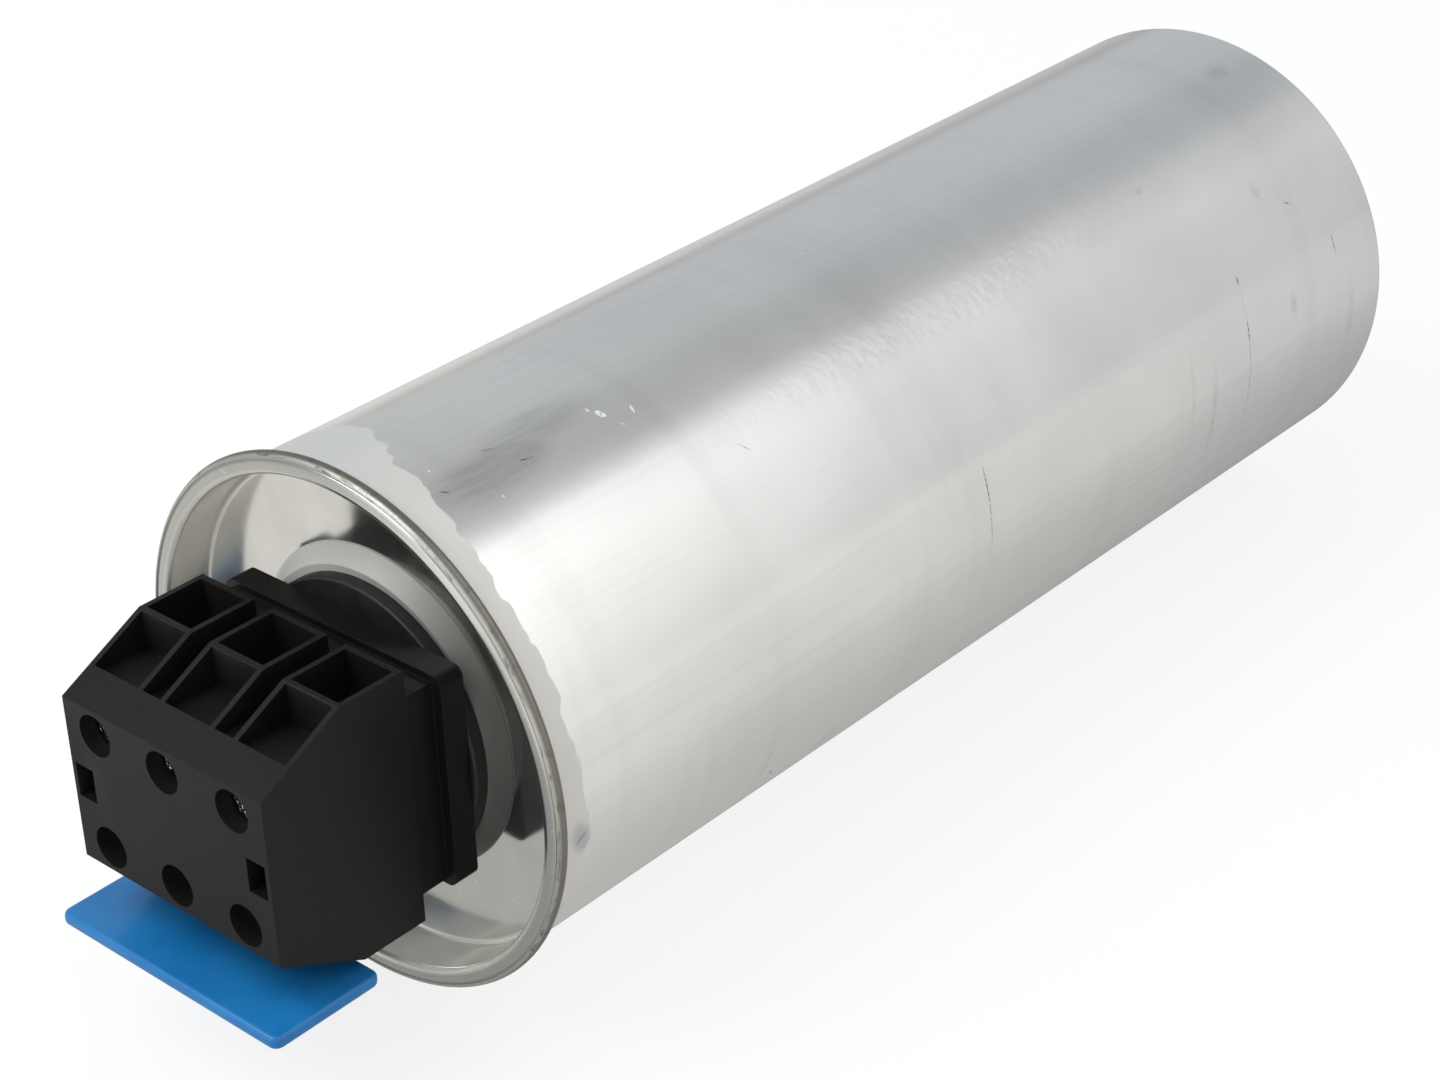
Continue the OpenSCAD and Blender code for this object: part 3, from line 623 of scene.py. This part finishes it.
def pressed_aluminium():
    """Bright sheet with a slightly warm tone, a dull step, and a rolled, nicked rim."""
    made, tree, shader, where = start("pressed_aluminium")
    x, z = (add(tree, "SeparateXYZ", where, take=axis) for axis in "XZ")
    radius = add(tree, "VectorMath", add(tree, "CombineXYZ", x, 0.0, z), operation="LENGTH",
                 take="Value")
    step, upright_wall, rolled, bead, edge = (
        add(tree, "MapRange", radius, low * mm, high * mm) for low, high in lid_rings)
    clouds = blotches(tree, where, 15)
    grit = blotches(tree, where, 0.7)
    gritty = add(tree, "Math", bead, grit, operation="MULTIPLY")

    # nicks run round the rim, so their noise is drawn out along the arc
    angle = add(tree, "Math", z, x, operation="ARCTAN2")
    arc_length = add(tree, "Math", angle, can_r * mm, operation="MULTIPLY")
    round_rim = add(tree, "CombineXYZ", arc_length, radius)
    nicks = add(tree, "MapRange", blotches(tree, round_rim, 0.8, stretch=(5, 1, 1)), 0.52, 0.72)
    for where_nicked in (add(tree, "MapRange", clouds, 0.4, 0.55), bead):
        nicks = add(tree, "Math", nicks, where_nicked, operation="MULTIPLY")

    specks = blotches(tree, where, 0.9, detail=1)
    cloudy = add(tree, "MapRange", clouds, 0.3, 0.7)
    # painted shade: the step's tone runs from light on the left to dark on the right, where it
    # turns away from the room
    painted_shade_to_right = add(tree, "MapRange", x, -22 * mm, 34 * mm)
    step_tone_with_painted_shade = add(tree, "Mix", painted_shade_to_right, "#DEDED9", "#5A5A57", data_type="RGBA")
    tone = lay(tree, add(tree, "Mix", cloudy, "#D3D2CC", "#DEDDD8", data_type="RGBA"),
               (add(tree, "Math", rolled, 0.75, operation="MULTIPLY"), "#A3A39E"),
               (nicks, "#6B6962"),
               (add(tree, "MapRange", specks, 0.74, 0.78, 0.0, 0.6), "#F5F5F0"),
               (add(tree, "Math", edge, 0.8, operation="MULTIPLY"), "#6B685F"),
               (step, step_tone_with_painted_shade))

    rough = add(tree, "MapRange", clouds, 0.3, 0.7, 0.10, 0.15)
    for ring, duller in ((upright_wall, 0.1), (step, 0.4), (gritty, 0.35)):
        rough = add(tree, "Math", ring, duller, rough, operation="MULTIPLY_ADD")
    metal = add(tree, "MapRange", step, 0.0, 1.0, 0.94, 0.3)
    tree.links.new(metal, shader.inputs["Metallic"])

    height = blotches(tree, where, 22, detail=1)
    for part, share in ((gritty, 0.5), (nicks, -0.6)):
        height = add(tree, "Math", part, share, height, operation="MULTIPLY_ADD")
    dress(tree, shader, tone, rough, height, 0.08)
    return made


finishes["pressed_aluminium"] = pressed_aluminium()
print("pressed aluminium:", len(finishes["pressed_aluminium"].node_tree.nodes), "nodes")

# %% [markdown]
# ## Plastics, rubber and epoxy
#
# Glass-filled polyamide is never quite black: its skin shows faint flow clouds and a fine
# grain from the tool. Rubber is softer and duller. The epoxy of the board is a thick coat
# with a gloss of its own, a little darker where it pools.

# %% Black polyamide, rubber and blue epoxy
def black_polyamide(name, dark, light):
    """Moulded glass-filled polyamide: near black, satin, with a fine grain."""
    made, tree, shader, where = start(name, {"IOR": 1.53, "Specular IOR Level": 0.16})
    flow = blotches(tree, where, 11, detail=3, stretch=(1, 1, 2.5))
    skin = blotches(tree, where, 0.22)
    cloudy = add(tree, "MapRange", flow, 0.3, 0.7)
    tone = add(tree, "Mix", cloudy, dark, light, data_type="RGBA")
    rough = add(tree, "Math", add(tree, "MapRange", flow, 0.3, 0.7, 0.42, 0.5),
                add(tree, "MapRange", skin, 0.3, 0.7, -0.04, 0.04), operation="ADD")
    dress(tree, shader, tone, rough, skin, 0.012)
    return made


def black_rubber():
    """Moulded rubber: matte, with a dusty bloom in places."""
    made, tree, shader, where = start("black_rubber", {"IOR": 1.52})
    bloom = blotches(tree, where, 6, detail=4)
    dusty = add(tree, "MapRange", bloom, 0.45, 0.75)
    tone = add(tree, "Mix", dusty, "#0E0E0D", "#191817", data_type="RGBA")
    rough = add(tree, "MapRange", bloom, 0.3, 0.7, 0.45, 0.65)
    dress(tree, shader, tone, rough, blotches(tree, where, 0.5), 0.02)
    return made


def blue_epoxy():
    """Dipped epoxy: saturated blue, glossy, with the slow waves of a coat that ran."""
    made, tree, shader, where = start("blue_epoxy", {
        "IOR": 1.55, "Specular IOR Level": 0.3, "Coat Weight": 0.1, "Coat Roughness": 0.12})
    pool = blotches(tree, where, 14)
    fine = blotches(tree, where, 1.1)
    pooled = add(tree, "MapRange", pool, 0.3, 0.7)
    tone = lay(tree, add(tree, "Mix", pooled, "#1E7ABF", "#2585CB", data_type="RGBA"),
               (add(tree, "MapRange", fine, 0.6, 0.8, 0.0, 0.25), "#176CB2"))
    rough = add(tree, "MapRange", pool, 0.3, 0.7, 0.22, 0.32)
    waves = add(tree, "Math", fine, 0.1, pool, operation="MULTIPLY_ADD")
    dress(tree, shader, tone, rough, waves, 0.15)
    return made


for name, dark, light in (("black_polyamide_base", "#131211", "#181716"),
                          ("black_polyamide_housing", "#171615", "#1C1B1A")):
    finishes[name] = black_polyamide(name, dark, light)
finishes["black_rubber"] = black_rubber()
finishes["blue_epoxy"] = blue_epoxy()
print(len(finishes), "finishes for what shows most")

# %% [markdown]
# ## Small metal parts and what is inside
#
# Screws, clamps and bars are plated or bare metal with marks of the tools that made them.
# The windings and their insulation are sealed in the can, but they get finishes of their
# own, so that the part can be opened. These finishes differ in a handful of values, and
# one function draws them all: two tones, how much of a metal it is, a span of roughness,
# the size and the depth of its grain, and the axis that the grain is drawn out along.

# %% Small parts
def plain_finish(name, tones, metallic, roughness, grain, depth, stretch=(1, 1, 1)):
    """A finish of two tones, with a grain whose size and depth are in mm."""
    made, tree, shader, where = start(name, {"Metallic": metallic})
    mottle = blotches(tree, where, grain * 6, detail=3, stretch=stretch)
    fine = blotches(tree, where, grain, stretch=stretch)
    tone = add(tree, "Mix", add(tree, "MapRange", mottle, 0.3, 0.7), *tones, data_type="RGBA")
    rough = add(tree, "MapRange", fine, 0.3, 0.7, *roughness)
    dress(tree, shader, tone, rough, fine, depth)
    return made


small_finishes = {
    # butyl compound: grey, matte, slightly grainy
    "seam_rubber": (("#77746B", "#8D8A80"), 0.0, (0.7, 0.9), 0.4, 0.03),
    # zinc plating on turned heads: the rings left by the tool are too fine to show, so they
    # are drawn as a coarse, deep grain that makes the heads sparkle in their holes
    "zinc_plated_screws": (("#D0D1CF", "#E4E4E0"), 1.0, (0.12, 0.25), 1.0, 0.6),
    "zinc_plated_nuts": (("#B9BBBC", "#CBCCCA"), 1.0, (0.25, 0.38), 0.2, 0.01),
    # bent sheet, rolled before it was plated, so the grain runs along the strip
    "zinc_plated_cages": (("#B3B6B8", "#C6C8CA"), 1.0, (0.28, 0.42), 0.15, 0.01, (1, 1, 8)),
    # brass: yellow metal, dulled by handling
    "brass_bar": (("#B8923F", "#D0AC5A"), 1.0, (0.28, 0.42), 0.2, 0.01, (1, 1, 8)),
    "brass_pin": (("#BD9744", "#D4B060"), 1.0, (0.2, 0.34), 0.15, 0.01, (6, 1, 6)),
    # tinned strip: soft white metal with a slight frost
    "tinned_strip": (("#BFC1C1", "#D3D4D2"), 1.0, (0.3, 0.45), 0.3, 0.015),
    # metallised polypropylene film, wound tight: the edges of its turns shimmer
    "metallised_film": (("#BDB7A6", "#D9D4C4"), 0.35, (0.25, 0.4), 0.3, 0.01, (1, 40, 1)),
    # moulded tube: blue, satin, drawn out along its length
    "core_plastic": (("#35608E", "#4474A6"), 0.0, (0.4, 0.5), 0.4, 0.01, (1, 12, 1)),
    # zinc sprayed from a gun: a crust of fine grains
    "sprayed_zinc": (("#7E8183", "#9A9C9C"), 0.8, (0.6, 0.8), 0.35, 0.12),
    # moulded insulation: ivory, and dull
    "insulating_plastic": (("#DDD7C4", "#EAE5D3"), 0.0, (0.45, 0.6), 0.5, 0.01),
    # wrapped film: pale amber, and smooth
    "insulating_film": (("#E3DAC0", "#F0E9D4"), 0.0, (0.25, 0.35), 0.8, 0.02, (1, 20, 1)),
    # copper strip: red metal with the marks of the rolls along it
    "copper_lead": (("#B4714A", "#C98B5A"), 1.0, (0.3, 0.45), 0.2, 0.01, (1, 8, 1)),
}
for name, values in small_finishes.items():
    finishes[name] = plain_finish(name, *values)
print(len(finishes), "finishes")

# %% [markdown]
# ## Dressing the pieces
#
# The record names a material slot for every node, so each CAD node that still shows takes
# its finish by that name. A new piece takes the slot of the node that it stands for.

# %% Assign the finishes
slots = {part["node"]: part["material_slot"] for part in frame["record"]["subparts"]}
dressed = {can: "can", stud: "can", lid: "lid", seal: "terminal_seal",
           housing: "terminal_housing", foot: "terminal_base", screws: "terminal_screws",
           nuts: "pin_nuts", board: "discharge_board"}
for stem, copies in (("clamp_cage", cages), ("phase_bar", bars), ("discharge_contact", contacts)):
    dressed.update({made: f"{stem}_{i}" for i, made in enumerate(copies, 1)})
for made, node in dressed.items():
    made.data.materials.clear()
    made.data.materials.append(finishes[slots[node]])
for node, shown in frame["nodes"].items():
    for material_slot in shown.material_slots:
        material_slot.material = finishes[slots[node]]
print(len(dressed), "new pieces and", len(frame["nodes"]), "nodes are dressed")

# %% [markdown]
# ## Floor
#
# A pale floor carries the part and keeps its shadow. Seen by the camera it is nearly
# white, by a light of its own that only camera rays meet, so that the background can be
# white without more light on the object. What the metal mirrors is a painted pool of
# light, also a light of the floor's own, with painted shade a little darker under the part
# and a painted bright stretch in front that lights up the rim. To every other ray it is
# pale and matte.

# %% Floor
floor_mesh = bmesh.new()
bmesh.ops.create_grid(floor_mesh, x_segments=1, y_segments=1, size=6)
bmesh.ops.translate(floor_mesh, vec=(0, 0, cad_low.z), verts=floor_mesh.verts)
floor_data = bpy.data.meshes.new("floor")
floor_mesh.to_mesh(floor_data)
floor_mesh.free()
floor = bpy.data.objects.new("floor", floor_data)
bpy.context.collection.objects.link(floor)
pale = bpy.data.materials.new("pale_floor")
pale.use_nodes = True
tree = pale.node_tree
tree.nodes.clear()
x, y = (add(tree, "SeparateXYZ", add(tree, "TexCoord", take="Object"), take=axis) for axis in "XY")
aside = add(tree, "Math", x, operation="ABSOLUTE")

# what the metal mirrors: a painted pool of light, with painted shade under the part, darker to the
# left and towards the back
pool = add(tree, "MapRange", aside, 0.04, 0.14, 0.40, 0.70)
for value, *ends in ((aside, 0.14, 1.1, 0.0, 0.55), (x, -0.25, -1.2, 0.0, -0.62),
                     (y, -0.4, 1.4, 0.18, -0.50)):
    pool = add(tree, "Math", pool, add(tree, "MapRange", value, *ends), operation="ADD")
pool = add(tree, "Math", pool, 0.4, operation="MAXIMUM")

# a painted bright stretch in front widens away from the part
widening = add(tree, "Math", y, 0.35, aside, operation="MULTIPLY_ADD")
beam = add(tree, "MapRange", widening, 0.0, 0.08, 1.0, 0.0)
ahead = add(tree, "MapRange", y, -0.48, -0.62, 0.0, 0.7)
pool = add(tree, "Math", ahead, beam, pool, operation="MULTIPLY_ADD")

matte = add(tree, "BsdfDiffuse", "#DEDEDC")
# painted light: reflections see the floor glow on its own with the painted pool
painted_pool_light = add(tree, "Emission", "#FFFEFB", pool)
matte = add(tree, "MixShader", add(tree, "LightPath", take="Is Glossy Ray"), matte, painted_pool_light)
seen = add(tree, "AddShader", add(tree, "BsdfDiffuse", "#7F7F7F"),
           add(tree, "Emission", "#FFFFFF", 0.82))
surface = add(tree, "MixShader", add(tree, "LightPath", take="Is Camera Ray"), matte, seen)
add(tree, "OutputMaterial", surface)
floor_data.materials.append(pale)
print("floor at", cad_low.z / mm, "mm")

# %% [markdown]
# ## Room
#
# Metal has no colour of its own to speak of: it shows the room. So the room is drawn with
# care, and only for reflections. Round the can's axis it runs from a pale wall through a
# broad bright panel to a grey ceiling, and the panel fades towards both ends. The
# direction of a ray gives both: its angle round Y, and how far it points along Y. A soft
# window in front, a little to the left, draws the bright line on the rim. Matte
# surfaces see an even, slightly cool sky instead.

# %% World
world = bpy.data.worlds.new("studio")
bpy.context.scene.world = world
world.use_nodes = True
tree = world.node_tree
tree.nodes.clear()
ray = add(tree, "TexCoord", take="Generated")
x, y, z = (add(tree, "SeparateXYZ", ray, take=axis) for axis in "XYZ")
share = add(tree, "MapRange", add(tree, "Math", z, x, operation="ARCTAN2"), 0.0, math.pi)

# share of the half turn, brightness, warmth (below 0 is cool)
room = [(0.0, 0.62, 0.01), (0.10, 0.65, 0.01), (0.24, 0.66, 0.01), (0.31, 0.70, 0.005),
        (0.38, 0.62, 0.0), (0.44, 0.60, -0.01), (0.50, 0.50, -0.02), (0.57, 0.48, -0.03),
        (0.64, 0.49, -0.03), (0.71, 0.565, -0.03), (0.80, 0.585, -0.035), (1.0, 0.58, -0.035)]
stops = [(at, (bright * (1 + warmth), bright, bright * (1 - warmth), 1))
         for at, bright, warmth in room]
walls = add(tree, "ValToRGB", share, stops=stops)

# share of the half turn, brightness
panel = [(0.0, 0.4), (0.08, 0.55), (0.17, 0.7), (0.27, 0.85), (0.34, 1.0), (0.42, 1.0),
         (0.445, 0.4), (0.48, 0.08), (0.52, 0)]
glare = add(tree, "ValToRGB", share, stops=[(at, (v, v, v, 1)) for at, v in panel])
strongest, panel_share = 1.58, 0.8
fade = add(tree, "Math", add(tree, "MapRange", y, 0.55, 0.80, strongest, 0.0),
           add(tree, "MapRange", y, 0.48, 0.1, strongest, 0.35), operation="MINIMUM")
glare = add(tree, "Mix", 1.0, glare, fade, data_type="RGBA", blend_type="MULTIPLY")
studio = add(tree, "Mix", panel_share, walls, glare, data_type="RGBA", blend_type="ADD")

window_way = (-0.3, -0.95, 0.1)
facing = add(tree, "VectorMath", ray, window_way, operation="DOT_PRODUCT", take="Value")
window = add(tree, "MapRange", facing, 0.90, 0.97, 0.0, 1.2, interpolation_type="SMOOTHSTEP")
studio = add(tree, "Mix", 1.0, studio, window, data_type="RGBA", blend_type="ADD")
sky = add(tree, "Mix", add(tree, "LightPath", take="Is Glossy Ray"), "#CFD1D4", studio,
          data_type="RGBA")
backdrop = add(tree, "Mix", add(tree, "LightPath", take="Is Camera Ray"), sky, "#FFFFFF",
               data_type="RGBA")
add(tree, "OutputWorld", add(tree, "Background", backdrop, 1.0))
print("the room has", len(room), "tones and a panel of", len(panel))

# %% [markdown]
# ## Lamp
#
# The sky alone would leave the black block flat. One large lamp, above and in front to
# the left, gives its edges a side to the light, and its size keeps the shadows soft.

# %% Soft lamp
lamp_data = bpy.data.lights.new("soft_lamp", "AREA")
lamp_data.shape, lamp_data.size, lamp_data.size_y = "RECTANGLE", 0.9, 0.9
lamp_data.energy = 9
lamp = bpy.data.objects.new("soft_lamp", lamp_data)
lamp.location = Vector((-0.45, -1.05, 1.1))
lamp_target = Vector((0, -0.25, 0))
lamp.rotation_mode = "QUATERNION"
lamp.rotation_quaternion = (lamp_target - lamp.location).to_track_quat("-Z", "Y")
bpy.context.collection.objects.link(lamp)
print("lamp:", lamp_data.energy, "W")
